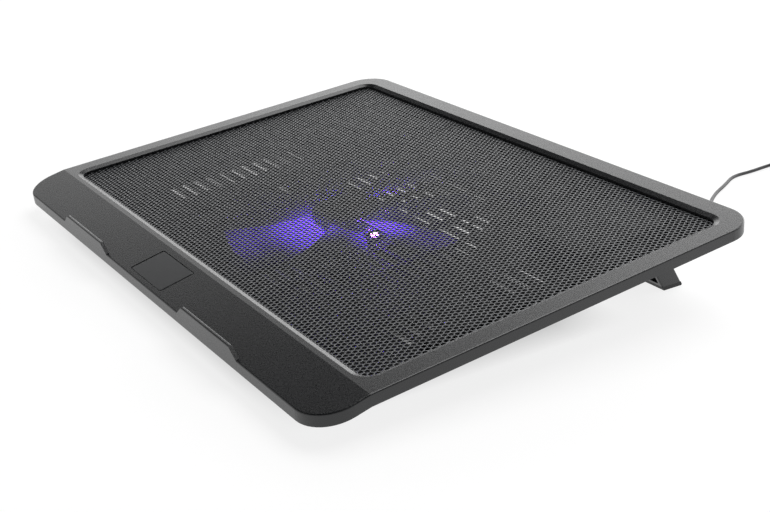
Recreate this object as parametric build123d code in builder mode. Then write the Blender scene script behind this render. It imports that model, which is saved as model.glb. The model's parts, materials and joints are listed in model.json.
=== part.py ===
"""Laptop cooling pad: a perforated deck over a shallow tray with one large fan.

Everything but the lead is drawn flat, in the pad's own frame: X to the right, Y to the rear,
Z up, with Z = 0 on the deck and X = Y = 0 at the middle of the deck. The finished pieces are
then tipped onto their front pads and open rear feet, so that the written pieces stand on
Z = 0. The lead lies on that floor and is drawn there.
"""
from build123d import *
from math import atan2, ceil, cos, degrees, hypot, pi, radians, sin, sqrt, tan
import os

# ---------------------------------------------------------------- driving dimensions (mm)
# Deck frame
deck_width = 340.0
deck_depth = 256.0
corner_radius = 18.0
wall_drop = 5.9  # height of the frame's outer wall
skin = 2.4  # thickness of the frame's top
skirt = 2.2  # thickness of the frame's outer wall
edge_round = 0.8
side_rim = 12.7
rear_rim = 14.2
front_rim = 31.4
opening_radius = 7.0
bevel_width = 2.7
bevel_drop = 1.2

# Sloping front bar, its laptop stops and its blank badge
bar_depth = 26.0
bar_slope = 8.3  # degrees
lip_centre = 72.5
lip_length = 59.0
lip_height = 4.9
lip_thickness = 2.0
lip_end_angle = 40.0  # degrees
lip_round = 0.7
badge_width = 34.4
badge_depth = 19.2
badge_thickness = 1.0
badge_side_gap = 0.8
badge_end_gap = 0.25
badge_radius = 1.5
badge_bevel = 0.2
badge_from_break = 13.4  # from the start of the slope to the badge's middle

# Perforated panel
mesh_thickness = 0.6
mesh_margin = 2.0  # how far the panel runs under the frame

# Tray
tray_depth = 16.6  # from the deck to the underside of the floor
floor_thickness = 2.0
flange_thickness = 1.8
tray_gap = 0.3  # between the tray's flange and the frame's wall
dish_side_inset = 12.0  # from the deck's edge to the dish's mouth
dish_front_inset = 22.0
dish_rear_inset = 10.5
dish_radius = 14.0
dish_side_draw = 8.0  # how far the floor is drawn in from the dish's mouth
dish_front_draw = 2.0
dish_rear_draw = 5.5
dish_wall = 1.8

# Vent slots in the tray's floor
slot_width = 4.0
slot_pitch = 8.1
side_slot_length = 25.0
side_slot_count = 11
side_slot_inset = 54.5  # from the deck's edge to the slots' middle
side_slot_y = -12.5
field_radius = 80.0
field_column = 23.5
field_rib = 3.5
field_shortest = 9.0
field_hub_gap = 3.0

# Raised channels in the tray's floor, open beneath
channel_roof_depth = 6.2
channel_wall = 1.5
side_channel_inset = 28.1  # from the deck's edge to the channel's middle
side_channel_y = 10.0
side_channel_width = 11.0
side_channel_length = 134.0
lead_bay_x = -12.5
lead_bay_inset = 46.5  # from the deck's rear edge to the bay's middle
lead_bay_length = 145.0
lead_bay_width = 13.0
lead_bay_step_length = 50.0
lead_bay_step = 5.0
bay_end_flat = 0.6
bay_step_radius = 3.3

# Fan
fan_y = -4.0
blade_count = 7
blade_tip_radius = 68.0
blade_thickness = 1.4
blade_mesh_gap = 1.6
blade_floor_gap = 2.2
blade_stations = ((12.0, 15.0, 0.0), (30.0, 21.0, 2.0), (50.0, 31.0, -1.0), (72.0, 42.0, -9.0))
blade_start_angle = 12.0
hub_radius = 20.0
hub_wall = 1.2
hub_round = 0.8
hub_mesh_gap = 1.8
hub_skirt = 0.4  # how far the hub hangs below the rotor's cup
shaft_seat = 0.8  # how far the shaft runs into the hub's roof
cup_wall = 0.7
magnet_wall = 2.0
magnet_gap = 0.5  # under the cup's roof
magnet_recess = 0.4  # above the cup's rim
air_gap = 0.4
winding_top_gap = 0.9  # under the cup's roof
winding_bottom_gap = 0.5  # above the board's parts
winding_overhang = 0.6  # past the stack's faces
winding_end_gap = 0.25
winding_width = 5.4
pole_count = 4
stator_arm = 3.0
stator_ring = 1.6
stator_boss = 2.0
pole_slot_width = 2.4
pole_slot_length = 6.0
shaft_radius = 1.5
shaft_clearance = 0.03
bearing_radius = 3.0
bearing_recess = 0.2
holder_wall = 1.0
holder_gap = 0.5  # under the cup's roof
shaft_end_gap = 0.4  # above the motor plate
clip_end_gap = 0.1
clip_thickness = 0.4
clip_groove = 0.4
clip_gap = 0.3  # between the clip and the bearing
clip_rim = 0.9
clip_mouth = 1.2
motor_plate_rim = 3.8  # outside the ring of lamps and screws
motor_plate_thickness = 1.0
board_thickness = 0.8
board_rim_gap = 1.7  # inside the stator's radius
board_part_height = 0.5
board_part_width = 2.0
board_part_length = 3.2
board_part_inset = 3.0
led_count = 4
led_gap = 2.2  # from the hub's radius to the lamps' middle
led_first_angle = 4.0
led_size = 3.0
led_height = 0.5
led_round = 0.4
motor_screw_radius = 1.0
motor_screw_head_radius = 1.9
motor_screw_head = 0.8
motor_screw_length = 2.6

# Case screws
screw_inset = 28.0  # of the outer screws, from the deck's sides
inner_screw_x = 62.0
screw_radius = 1.15
screw_head_radius = 2.2
screw_head = 1.3
screw_seat = 0.5  # depth of the counterbore in the flange
screw_tip_depth = 1.3
screw_cross_length = 2.2
screw_cross_width = 0.6
screw_cross_depth = 0.7
boss_radius = 2.75
thread_gap = 0.02
front_screw_from_break = 11.0
rear_screw_inset = 6.2  # from the deck's rear edge

# Fold-out rear feet
foot_side_inset = 37.0  # from the deck's side to the foot
foot_width = 37.0
foot_half_thickness = 5.6
foot_pivot_inset = 38.2  # from the deck's rear edge
foot_length = 38.1  # from the pin to the middle of the sole
foot_lean = 27.4  # degrees past square to the deck when open
foot_side_gap = 0.7
foot_stop_gap = 0.35
foot_swing_gap = 0.7
foot_roof_gap = 0.5
foot_shell = 2.0
foot_rib = 1.6
foot_pockets = 3
pocket_radius = 1.0
pocket_pin_wall = 3.0
pocket_end_wall = 4.5
foot_tip_height = 2.2
foot_edge_round = 0.8
foot_tip_round = 0.6
foot_edge_start = 4.0  # how far above the tip the rounded edges start
well_wall = 1.6
well_roof = 1.2
pin_radius = 1.25
pin_clearance = 0.08

# Front pads
front_pad_inset = 58.0  # from the deck's side to the pad's middle
front_pad_front_inset = 31.5
front_pad_width = 30.0
front_pad_depth = 9.0
front_pad_radius = 3.0
front_pad_taper = 4.0  # degrees
front_pad_height = 4.4  # below the tray, at the pad's middle

# Lead and its port
lead_diameter = 2.2
port_inset = 40.0  # from the deck's right side
port_rise = 0.1  # above the middle between the tray's flange and its floor
port_width = 12.0
port_height = 8.6
port_face_inset = 9.5  # from the deck's rear edge
port_length = 9.5
collar_gap = 0.2  # between the grommet's collars and the tray round them
grommet_neck_radius = 2.6
grommet_collar_radius = 3.8
grommet_collar = 1.4
grommet_tail = 8.0
grommet_chamfer = 0.6
grommet_tip_wall = 0.4
inner_lead_diameter = 1.4

# Put-away coil and plug of the lead, on the floor behind the pad
coil_x = 43.4
coil_y = 324.0
coil_mean_radius = 12.5
coil_section_width = 4.8
coil_section_height = 4.6
coil_section_round = 1.6
coil_lift = 0.5  # the tie lies under the coil
tie_width = 4.0
tie_angle = -35.0
tie_round = 1.9
lead_exit_z = 3.7  # height of the lead between coil and plug
plug_x = 64.0
plug_length = 25.0
plug_width = 15.4
plug_tail = 7.0
plug_tail_radius = 2.3
plug_tail_taper = 0.8
plug_corner = 2.2
plug_edge_round = 0.9
shell_length = 12.2
shell_width = 12.0
shell_height = 4.5
shell_wall = 0.3
shell_root = 5.0
latch_length = 2.5
latch_width = 2.2
latch_place = 0.45  # share of the shell's length
tongue_thickness = 1.9
tongue_recess = 0.4
tongue_base = 1.0
contact_count = 4
contact_pitch = 2.4
contact_width = 1.1
contact_thickness = 0.15
contact_margin = 2.5

# ---------------------------------------------------------------- derived places
half_width, half_depth = deck_width / 2, deck_depth / 2
dish_half_width = half_width - dish_side_inset
dish_front = half_depth - dish_front_inset
dish_rear = half_depth - dish_rear_inset
side_slot_x = half_width - side_slot_inset
side_channel_x = half_width - side_channel_inset
lead_bay_y = half_depth - lead_bay_inset
outer_screw_x = half_width - screw_inset
screw_xs = (-outer_screw_x, -inner_screw_x, inner_screw_x, outer_screw_x)
rear_screw_y = half_depth - rear_screw_inset
foot_inner_x = half_width - foot_side_inset - foot_width
foot_pivot_y = half_depth - foot_pivot_inset
front_pad_x = half_width - front_pad_inset
front_pad_y = front_pad_front_inset - half_depth
port_x = half_width - port_inset
port_face_y = half_depth - port_face_inset
port_inner_y = port_face_y - port_length
break_y = -half_depth + bar_depth
bar_dip = bar_depth * tan(radians(bar_slope))
bar_cos = cos(radians(bar_slope))
bar_plane = Plane(
    origin=(0, break_y, 0), x_dir=(1, 0, 0), z_dir=(0, -sin(radians(bar_slope)), bar_cos)
)

opening_width = deck_width - 2 * side_rim
opening_depth = deck_depth - rear_rim - front_rim
opening_y = (front_rim - rear_rim) / 2

mesh_bottom = skin + mesh_thickness
flange_bottom = mesh_bottom + flange_thickness
floor_top = tray_depth - floor_thickness
plate_top = floor_top - motor_plate_thickness
board_top = plate_top - board_thickness
well_roof_depth = flange_bottom
port_depth = (flange_bottom + floor_top) / 2 - port_rise
foot_pivot_depth = well_roof_depth + foot_roof_gap + foot_half_thickness

lean_sin, lean_cos = sin(radians(foot_lean)), cos(radians(foot_lean))
sole_y = foot_pivot_y + foot_length * lean_sin
sole_depth = foot_pivot_depth + foot_length * lean_cos
pad_sole_depth = tray_depth + front_pad_height
tilt = atan2(sole_depth - pad_sole_depth, sole_y - front_pad_y)
floor_normal = (0, sin(tilt), cos(tilt))
floor_plane = Plane(origin=(0, sole_y, -sole_depth), x_dir=(1, 0, 0), z_dir=floor_normal)

fan_plane = Plane(origin=(0, fan_y, 0))
cup_outer = hub_radius - hub_wall
magnet_outer = cup_outer - cup_wall
stator_radius = magnet_outer - magnet_wall - air_gap
blade_top_depth = mesh_bottom + blade_mesh_gap
blade_bottom_depth = floor_top - blade_floor_gap
hub_top_depth = mesh_bottom + hub_mesh_gap
hub_roof_depth = hub_top_depth + hub_wall
cup_roof_depth = hub_roof_depth + cup_wall
cup_rim_depth = blade_bottom_depth - hub_skirt
winding_top = cup_roof_depth + winding_top_gap
winding_bottom = board_top - board_part_height - winding_bottom_gap
stack_depth = winding_top + winding_overhang
stack_height = winding_bottom - winding_overhang - stack_depth
holder_top_depth = cup_roof_depth + holder_gap
holder_radius = bearing_radius + holder_wall
shaft_bottom = plate_top - shaft_end_gap
clip_bottom = shaft_bottom - clip_end_gap
bearing_top_depth = holder_top_depth + bearing_recess
bearing_bottom_depth = clip_bottom - clip_thickness - clip_gap
board_radius = stator_radius - board_rim_gap
led_radius = hub_radius + led_gap
motor_plate_radius = led_radius + motor_plate_rim
motor_screw_angle = led_first_angle + 180 / led_count


def deck_layer(upper, lower):
    """Corners (Y, Z) of the layer between two depths under the deck's top line."""
    far = half_depth + deck_depth
    far_dip = (far + break_y) * tan(radians(bar_slope))
    return [
        (far, -upper),
        (break_y, -upper),
        (-far, -far_dip - upper),
        (-far, -far_dip - lower),
        (break_y, -lower),
        (far, -lower),
    ]


def screw_rows():
    """The two rows of case screws: plane of the deck there, Y on it, and depth scale."""
    return [(Plane.XY, rear_screw_y, 1.0), (bar_plane, -front_screw_from_break, bar_cos)]


# ---------------------------------------------------------------- deck frame
with BuildPart() as frame_cavity:
    with BuildSketch(Plane.YZ):
        Polygon(*deck_layer(skin, 3 * tray_depth), align=None)
    extrude(amount=deck_width, both=True)
    with BuildSketch(Plane.XY):
        RectangleRounded(deck_width - 2 * skirt, deck_depth - 2 * skirt, corner_radius - skirt)
    extrude(amount=3 * tray_depth, both=True, mode=Mode.INTERSECT)

with BuildPart() as frame_bosses:
    for deck, row_y, scale in screw_rows():
        with BuildSketch(deck.offset(-mesh_bottom * scale)):
            with Locations([(x, row_y) for x in screw_xs]):
                Circle(boss_radius)
        extrude(amount=mesh_bottom * scale - skin / 2)

with BuildPart() as top_frame:
    with BuildSketch(Plane.YZ):
        Polygon(*deck_layer(0, wall_drop), align=None)
    extrude(amount=deck_width, both=True)
    with BuildSketch(Plane.XY):
        RectangleRounded(deck_width, deck_depth, corner_radius)
    extrude(amount=3 * tray_depth, both=True, mode=Mode.INTERSECT)
    deck_edges = top_frame.faces().filter_by(lambda face: face.normal_at().Z > 0.9).edges()
    crossing = deck_edges.filter_by(Axis.X).sort_by(Axis.Y)[1:-1]
    rim_edges = [edge for edge in deck_edges if all(not edge.is_same(other) for other in crossing)]
    fillet(rim_edges, edge_round)
    add(frame_cavity.part, mode=Mode.SUBTRACT)
    add(frame_bosses.part)
    # opening over the perforated panel, with a bevelled edge
    with BuildSketch(Plane.XY):
        with Locations((0, opening_y)):
            RectangleRounded(opening_width, opening_depth, opening_radius)
    extrude(amount=-tray_depth, mode=Mode.SUBTRACT)
    with BuildSketch(Plane.XY):
        with Locations((0, opening_y)):
            RectangleRounded(
                opening_width + 2 * bevel_width,
                opening_depth + 2 * bevel_width,
                opening_radius + bevel_width,
            )
    extrude(
        amount=-bevel_drop, taper=degrees(atan2(bevel_width, bevel_drop)), mode=Mode.SUBTRACT
    )
    # stops that keep the laptop from sliding off, flush with the front wall
    lip_base = bar_dip + edge_round
    lip_spread = edge_round / tan(radians(lip_end_angle))
    with BuildSketch(Plane.XZ.offset(half_depth)):
        with Locations((-lip_centre, -lip_base), (lip_centre, -lip_base)):
            Trapezoid(
                lip_length + 2 * lip_spread,
                lip_height + edge_round,
                lip_end_angle,
                align=(Align.CENTER, Align.MIN),
            )
    extrude(amount=-lip_thickness)
    lip_tops = top_frame.faces().filter_by(Axis.Z).group_by(Axis.Z)[-1]
    fillet(lip_tops.edges().filter_by(Axis.X), lip_round)
    # recess of the badge
    with BuildSketch(bar_plane):
        with Locations((0, -badge_from_break)):
            RectangleRounded(
                badge_width + 2 * badge_side_gap, badge_depth + 2 * badge_end_gap, badge_radius
            )
    extrude(amount=-badge_thickness, mode=Mode.SUBTRACT)
    # pilot holes of the case screws
    for deck, row_y, scale in screw_rows():
        with BuildSketch(deck.offset(-mesh_bottom * scale)):
            with Locations([(x, row_y) for x in screw_xs]):
                Circle(screw_radius + thread_gap)
        extrude(amount=(mesh_bottom - screw_tip_depth) * scale + thread_gap, mode=Mode.SUBTRACT)
top_frame.part.label = "top_frame"

with BuildPart() as badge_plate:
    with BuildSketch(bar_plane.offset(-badge_thickness)):
        with Locations((0, -badge_from_break)):
            RectangleRounded(badge_width, badge_depth, badge_radius - badge_end_gap)
    extrude(amount=badge_thickness)
    chamfer(badge_plate.faces().sort_by(Axis.Z)[-1].edges(), badge_bevel)
badge_plate.part.label = "badge_plate"

with BuildPart() as mesh_panel:
    with BuildSketch(Plane.XY.offset(-mesh_bottom)):
        with Locations((0, opening_y)):
            RectangleRounded(
                opening_width + 2 * mesh_margin,
                opening_depth + 2 * mesh_margin,
                opening_radius + mesh_margin,
            )
    extrude(amount=mesh_thickness)
mesh_panel.part.label = "mesh_panel"


# ---------------------------------------------------------------- bottom tray
def dish_outline(draw, inset):
    """Rounded rectangle of the dish: draw is 0 at its mouth and 1 at its floor."""
    left = dish_half_width - draw * dish_side_draw - inset
    front = dish_front - draw * dish_front_draw - inset
    rear = dish_rear - draw * dish_rear_draw - inset
    with Locations((0, (rear - front) / 2)):
        RectangleRounded(2 * left, front + rear, dish_radius - inset)


def field_slots():
    """(middle X, middle Y, length) of the slots under the fan, cut short at the field's rim."""
    slots = []
    rows = int(field_radius / slot_pitch)
    columns = ceil(field_radius / field_column)
    half_slot = (field_column - field_rib) / 2
    for row in range(-rows, rows + 1):
        y = row * slot_pitch
        reach = sqrt(max(0.0, field_radius**2 - (abs(y) + slot_width / 2) ** 2))
        keep = motor_plate_radius + field_hub_gap
        shade = sqrt(max(0.0, keep**2 - max(0.0, abs(y) - slot_width / 2) ** 2))
        for column in range(-columns, columns + 1):
            low = max(abs(column) * field_column - half_slot, shade if column else -half_slot)
            high = min(abs(column) * field_column + half_slot, reach)
            if column == 0 and (shade > 0 or reach < half_slot):
                continue
            if high - low < field_shortest:
                continue
            side = -1 if column < 0 else 1
            slots.append((side * (low + high) / 2, y, high - low))
    return slots


leg_reach = foot_length + foot_half_thickness * tan(radians(foot_lean) + tilt)
well_front = foot_pivot_y - hypot(leg_reach, foot_half_thickness) - foot_swing_gap
well_rear = (
    foot_pivot_y
    + (tray_depth - foot_pivot_depth) * lean_sin / lean_cos
    + foot_half_thickness / lean_cos
    + foot_stop_gap
)
well_middle = (well_front + well_rear) / 2
well_x = foot_inner_x + foot_width / 2
well_inside = foot_width + 2 * foot_side_gap

with BuildPart() as tray_blank:
    with BuildSketch(Plane.YZ):
        Polygon(*deck_layer(mesh_bottom, flange_bottom), align=None)
    extrude(amount=deck_width, both=True)
    with BuildSketch(Plane.XY):
        RectangleRounded(
            deck_width - 2 * (skirt + tray_gap),
            deck_depth - 2 * (skirt + tray_gap),
            corner_radius - skirt - tray_gap,
        )
    extrude(amount=3 * tray_depth, both=True, mode=Mode.INTERSECT)

with BuildPart() as dish_body:
    with BuildSketch(Plane.XY.offset(-mesh_bottom)):
        dish_outline(0, 0)
    with BuildSketch(Plane.XY.offset(-tray_depth)):
        dish_outline(1, 0)
    loft()

with BuildPart() as dish_cavity:
    with BuildSketch(Plane.XY.offset(-mesh_bottom)):
        dish_outline(0, dish_wall)
    with BuildSketch(Plane.XY.offset(-floor_top)):
        dish_outline((floor_top - mesh_bottom) / (tray_depth - mesh_bottom), dish_wall)
    loft()

with BuildPart() as under_deck:
    with BuildSketch(Plane.YZ):
        Polygon(*deck_layer(mesh_bottom, 3 * tray_depth), align=None)
    extrude(amount=deck_width, both=True)

under_floor = Plane.XY.offset(-tray_depth)
with BuildPart() as bottom_tray:
    add(tray_blank.part)
    add(dish_body.part)
    add(dish_cavity.part, mode=Mode.SUBTRACT)
    # port of the lead in the rear wall
    with BuildSketch(Plane.XY.offset(-port_depth - port_height / 2)):
        with Locations((port_x, (port_inner_y + port_face_y) / 2)):
            Rectangle(port_width, port_face_y - port_inner_y)
    extrude(amount=port_height)
    # raised channels and foot wells, solid first
    with BuildSketch(under_floor):
        with Locations((-side_channel_x, side_channel_y), (side_channel_x, side_channel_y)):
            SlotOverall(side_channel_length, side_channel_width, rotation=90)
        with Locations((lead_bay_x, lead_bay_y)):
            RectangleRounded(lead_bay_length, lead_bay_width, lead_bay_width / 2 - bay_end_flat)
        with Locations((lead_bay_x, lead_bay_y + lead_bay_step)):
            RectangleRounded(lead_bay_step_length, lead_bay_width, bay_step_radius)
    extrude(amount=tray_depth - channel_roof_depth)
    with BuildSketch(under_floor):
        with Locations((-well_x, well_middle), (well_x, well_middle)):
            Rectangle(well_inside + 2 * well_wall, well_rear - well_front + 2 * well_wall)
    extrude(amount=tray_depth - well_roof_depth + well_roof)
    add(under_deck.part, mode=Mode.INTERSECT)
    # then hollow from beneath
    with BuildSketch(under_floor):
        with Locations((-side_channel_x, side_channel_y), (side_channel_x, side_channel_y)):
            SlotOverall(
                side_channel_length - 2 * channel_wall,
                side_channel_width - 2 * channel_wall,
                rotation=90,
            )
        with Locations((lead_bay_x, lead_bay_y)):
            RectangleRounded(
                lead_bay_length - 2 * channel_wall,
                lead_bay_width - 2 * channel_wall,
                lead_bay_width / 2 - bay_end_flat - channel_wall,
            )
        with Locations((lead_bay_x, lead_bay_y + lead_bay_step)):
            RectangleRounded(
                lead_bay_step_length - 2 * channel_wall,
                lead_bay_width - 2 * channel_wall,
                bay_step_radius - channel_wall,
            )
    extrude(amount=tray_depth - channel_roof_depth - channel_wall, mode=Mode.SUBTRACT)
    with BuildSketch(under_floor):
        with Locations((-well_x, well_middle), (well_x, well_middle)):
            Rectangle(well_inside, well_rear - well_front)
    extrude(amount=tray_depth - well_roof_depth, mode=Mode.SUBTRACT)
    # seats of the hinge pins in the well walls
    with BuildSketch(Plane.YZ):
        with Locations((foot_pivot_y, -foot_pivot_depth)):
            Circle(pin_radius)
    extrude(amount=well_x + well_inside / 2 + well_wall, both=True, mode=Mode.SUBTRACT)
    # vent slots
    with BuildSketch(under_floor):
        with Locations((-side_slot_x, side_slot_y), (side_slot_x, side_slot_y)):
            with GridLocations(slot_pitch, slot_pitch, 1, side_slot_count):
                SlotOverall(side_slot_length, slot_width)
        for slot_x, slot_y, slot_length in field_slots():
            with Locations((slot_x, fan_y + slot_y)):
                SlotOverall(slot_length, slot_width)
    extrude(amount=floor_thickness, mode=Mode.SUBTRACT)
    # holes of the case screws
    for deck, row_y, scale in screw_rows():
        with BuildSketch(deck.offset(-flange_bottom * scale)):
            with Locations([(x, row_y) for x in screw_xs]):
                Circle(screw_head_radius + tray_gap)
        extrude(amount=screw_seat * scale, mode=Mode.SUBTRACT)
        with BuildSketch(deck.offset(-flange_bottom * scale)):
            with Locations([(x, row_y) for x in screw_xs]):
                Circle(screw_radius + thread_gap)
        extrude(amount=flange_thickness * scale, mode=Mode.SUBTRACT)
    # pilot holes of the motor screws
    with BuildSketch(fan_plane.offset(-floor_top)):
        with PolarLocations(led_radius, led_count, start_angle=motor_screw_angle):
            Circle(motor_screw_radius + thread_gap)
    extrude(amount=-motor_screw_length + motor_plate_thickness, mode=Mode.SUBTRACT)
    # hole of the grommet
    with BuildSketch(Plane.XZ.offset(-port_face_y)):
        with Locations((port_x, -port_depth)):
            Circle(grommet_neck_radius)
    extrude(amount=port_face_y - port_inner_y, mode=Mode.SUBTRACT)
    # room for the grommet's collars
    for collar_y in (port_inner_y, port_face_y + grommet_collar):
        with BuildSketch(Plane.XZ.offset(-collar_y)):
            with Locations((port_x, -port_depth)):
                Circle(grommet_collar_radius + collar_gap)
        extrude(amount=grommet_collar, mode=Mode.SUBTRACT)
bottom_tray.part.label = "bottom_tray"

with BuildPart() as case_screws:
    for deck, row_y, scale in screw_rows():
        seat_depth = (flange_bottom - screw_seat) * scale
        with BuildSketch(deck.offset(-seat_depth)):
            with Locations([(x, row_y) for x in screw_xs]):
                Circle(screw_head_radius)
        extrude(amount=-screw_head)
        with BuildSketch(deck.offset(-seat_depth)):
            with Locations([(x, row_y) for x in screw_xs]):
                Circle(screw_radius)
        extrude(amount=seat_depth - screw_tip_depth * scale)
        with BuildSketch(deck.offset(-seat_depth - screw_head)):
            with Locations([(x, row_y) for x in screw_xs]):
                Rectangle(screw_cross_length, screw_cross_width)
                Rectangle(screw_cross_width, screw_cross_length)
        extrude(amount=screw_cross_depth, mode=Mode.SUBTRACT)
case_screws.part.label = "case_screws"

# ---------------------------------------------------------------- fan
with BuildPart() as blade:
    reach_z = (blade_bottom_depth - blade_top_depth - blade_thickness) / 2
    for radius, chord, offset_y in blade_stations:
        section = Plane(
            origin=(radius, offset_y, -(blade_top_depth + blade_bottom_depth) / 2),
            x_dir=(0, 1, 0),
            z_dir=(1, 0, 0),
        )
        pitch = degrees(atan2(reach_z, sqrt((chord / 2) ** 2 - reach_z**2)))
        with BuildSketch(section):
            SlotOverall(chord + blade_thickness, blade_thickness, rotation=-pitch)
    loft()

with BuildPart() as fan_hub:
    with BuildSketch(fan_plane.offset(-hub_top_depth)):
        Circle(hub_radius)
    extrude(amount=-(blade_bottom_depth - hub_top_depth))
    fillet(fan_hub.faces().sort_by(Axis.Z)[-1].edges(), hub_round)

with BuildPart() as impeller:
    with Locations((0, fan_y, 0)):
        with PolarLocations(0, blade_count, start_angle=blade_start_angle):
            add(blade.part)
    with BuildSketch(fan_plane):
        Circle(blade_tip_radius)
        Circle(hub_radius - hub_wall / 2, mode=Mode.SUBTRACT)
    extrude(amount=-tray_depth, mode=Mode.INTERSECT)
    add(fan_hub.part)
    with BuildSketch(fan_plane.offset(-hub_roof_depth)):
        Circle(cup_outer)
    extrude(amount=-tray_depth, mode=Mode.SUBTRACT)
    with BuildSketch(fan_plane.offset(-hub_roof_depth)):
        Circle(shaft_radius)
    extrude(amount=shaft_seat, mode=Mode.SUBTRACT)
impeller.part.label = "impeller"

with BuildPart() as rotor_cup:
    with BuildSketch(fan_plane.offset(-hub_roof_depth)):
        Circle(cup_outer)
        Circle(shaft_radius, mode=Mode.SUBTRACT)
    extrude(amount=-(cup_rim_depth - hub_roof_depth))
    with BuildSketch(fan_plane.offset(-cup_roof_depth)):
        Circle(magnet_outer)
    extrude(amount=-tray_depth, mode=Mode.SUBTRACT)
rotor_cup.part.label = "rotor_cup"

with BuildPart() as ring_magnet:
    with BuildSketch(fan_plane.offset(-cup_roof_depth - magnet_gap)):
        Circle(magnet_outer)
        Circle(magnet_outer - magnet_wall, mode=Mode.SUBTRACT)
    extrude(amount=-(cup_rim_depth - magnet_recess - cup_roof_depth - magnet_gap))
ring_magnet.part.label = "ring_magnet"

with BuildPart() as fan_shaft:
    with BuildSketch(fan_plane.offset(-shaft_bottom)):
        Circle(shaft_radius)
    extrude(amount=shaft_bottom - hub_roof_depth + shaft_seat)
    with BuildSketch(fan_plane.offset(-clip_bottom)):
        Circle(2 * shaft_radius)
        Circle(shaft_radius - clip_groove, mode=Mode.SUBTRACT)
    extrude(amount=clip_thickness, mode=Mode.SUBTRACT)
fan_shaft.part.label = "fan_shaft"

with BuildPart() as shaft_clip:
    with BuildSketch(fan_plane.offset(-clip_bottom)):
        Circle(shaft_radius + clip_rim)
        Circle(shaft_radius - clip_groove, mode=Mode.SUBTRACT)
        with Locations((0, -shaft_radius - clip_rim)):
            Rectangle(clip_mouth, 2 * shaft_radius, mode=Mode.SUBTRACT)
    extrude(amount=clip_thickness)
shaft_clip.part.label = "shaft_clip"

with BuildPart() as sleeve_bearing:
    with BuildSketch(fan_plane.offset(-bearing_top_depth)):
        Circle(bearing_radius)
        Circle(shaft_radius + shaft_clearance, mode=Mode.SUBTRACT)
    extrude(amount=-(bearing_bottom_depth - bearing_top_depth))
sleeve_bearing.part.label = "sleeve_bearing"

with BuildPart() as bearing_holder:
    with BuildSketch(fan_plane.offset(-plate_top)):
        Circle(holder_radius)
        Circle(bearing_radius, mode=Mode.SUBTRACT)
    extrude(amount=plate_top - holder_top_depth)
bearing_holder.part.label = "bearing_holder"

with BuildPart() as motor_plate:
    with BuildSketch(fan_plane.offset(-floor_top)):
        Circle(motor_plate_radius)
        with PolarLocations(led_radius, led_count, start_angle=motor_screw_angle):
            Circle(motor_screw_radius + thread_gap, mode=Mode.SUBTRACT)
    extrude(amount=motor_plate_thickness)
motor_plate.part.label = "motor_plate"

with BuildPart() as motor_screws:
    with Locations((0, fan_y, -plate_top)):
        with PolarLocations(led_radius, led_count, start_angle=motor_screw_angle):
            Cylinder(
                motor_screw_head_radius,
                motor_screw_head,
                align=(Align.CENTER, Align.CENTER, Align.MIN),
            )
            Cylinder(
                motor_screw_radius,
                motor_screw_length,
                align=(Align.CENTER, Align.CENTER, Align.MAX),
            )
motor_screws.part.label = "motor_screws"

with BuildPart() as fan_board:
    with BuildSketch(fan_plane.offset(-plate_top)):
        Circle(board_radius)
        Circle(holder_radius, mode=Mode.SUBTRACT)
    extrude(amount=board_thickness)
    with BuildSketch(fan_plane.offset(-board_top)):
        with PolarLocations(board_radius - board_part_inset, pole_count, start_angle=180 / pole_count):
            Rectangle(board_part_width, board_part_length)
    extrude(amount=board_part_height)
fan_board.part.label = "fan_board"

with BuildPart() as stator_core:
    with BuildSketch(fan_plane.offset(-stack_depth)):
        Circle(stator_radius)
        Circle(stator_radius - stator_ring, mode=Mode.SUBTRACT)
        with PolarLocations(stator_radius, pole_count, start_angle=180 / pole_count):
            Rectangle(pole_slot_length, pole_slot_width, mode=Mode.SUBTRACT)
        with PolarLocations((stator_radius - stator_ring / 2) / 2, pole_count):
            Rectangle(stator_radius - stator_ring / 2, stator_arm)
        Circle(holder_radius + stator_boss)
        Circle(holder_radius, mode=Mode.SUBTRACT)
    extrude(amount=-stack_height)
stator_core.part.label = "stator_core"

winding_inner = holder_radius + stator_boss + winding_end_gap
winding_outer = stator_radius - stator_ring - winding_end_gap
with BuildPart() as stator_windings:
    with Locations((0, fan_y, -(winding_top + winding_bottom) / 2)):
        with PolarLocations((winding_inner + winding_outer) / 2, pole_count):
            Box(winding_outer - winding_inner, winding_width, winding_bottom - winding_top)
            Box(winding_outer - winding_inner, stator_arm, stack_height, mode=Mode.SUBTRACT)
stator_windings.part.label = "stator_windings"

with BuildPart() as fan_leds:
    with BuildSketch(fan_plane.offset(-plate_top)):
        with PolarLocations(led_radius, led_count, start_angle=led_first_angle):
            Rectangle(led_size, led_size)
    extrude(amount=led_height)
    fillet(fan_leds.edges().filter_by(Axis.Z), led_round)
fan_leds.part.label = "fan_leds"

# ---------------------------------------------------------------- rear feet
pad_pieces = [
    top_frame, badge_plate, mesh_panel, bottom_tray, case_screws, impeller, rotor_cup,
    ring_magnet, fan_shaft, shaft_clip, sleeve_bearing, bearing_holder, motor_plate,
    motor_screws, fan_board, stator_core, stator_windings, fan_leds,
]
leg_direction = Vector(0, lean_sin, -lean_cos)
pocket_start = foot_half_thickness + pocket_pin_wall
pocket_end = foot_length - foot_half_thickness * tan(radians(foot_lean) + tilt) - pocket_end_wall
pocket_width = (foot_width - 2 * foot_shell - (foot_pockets - 1) * foot_rib) / foot_pockets

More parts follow.
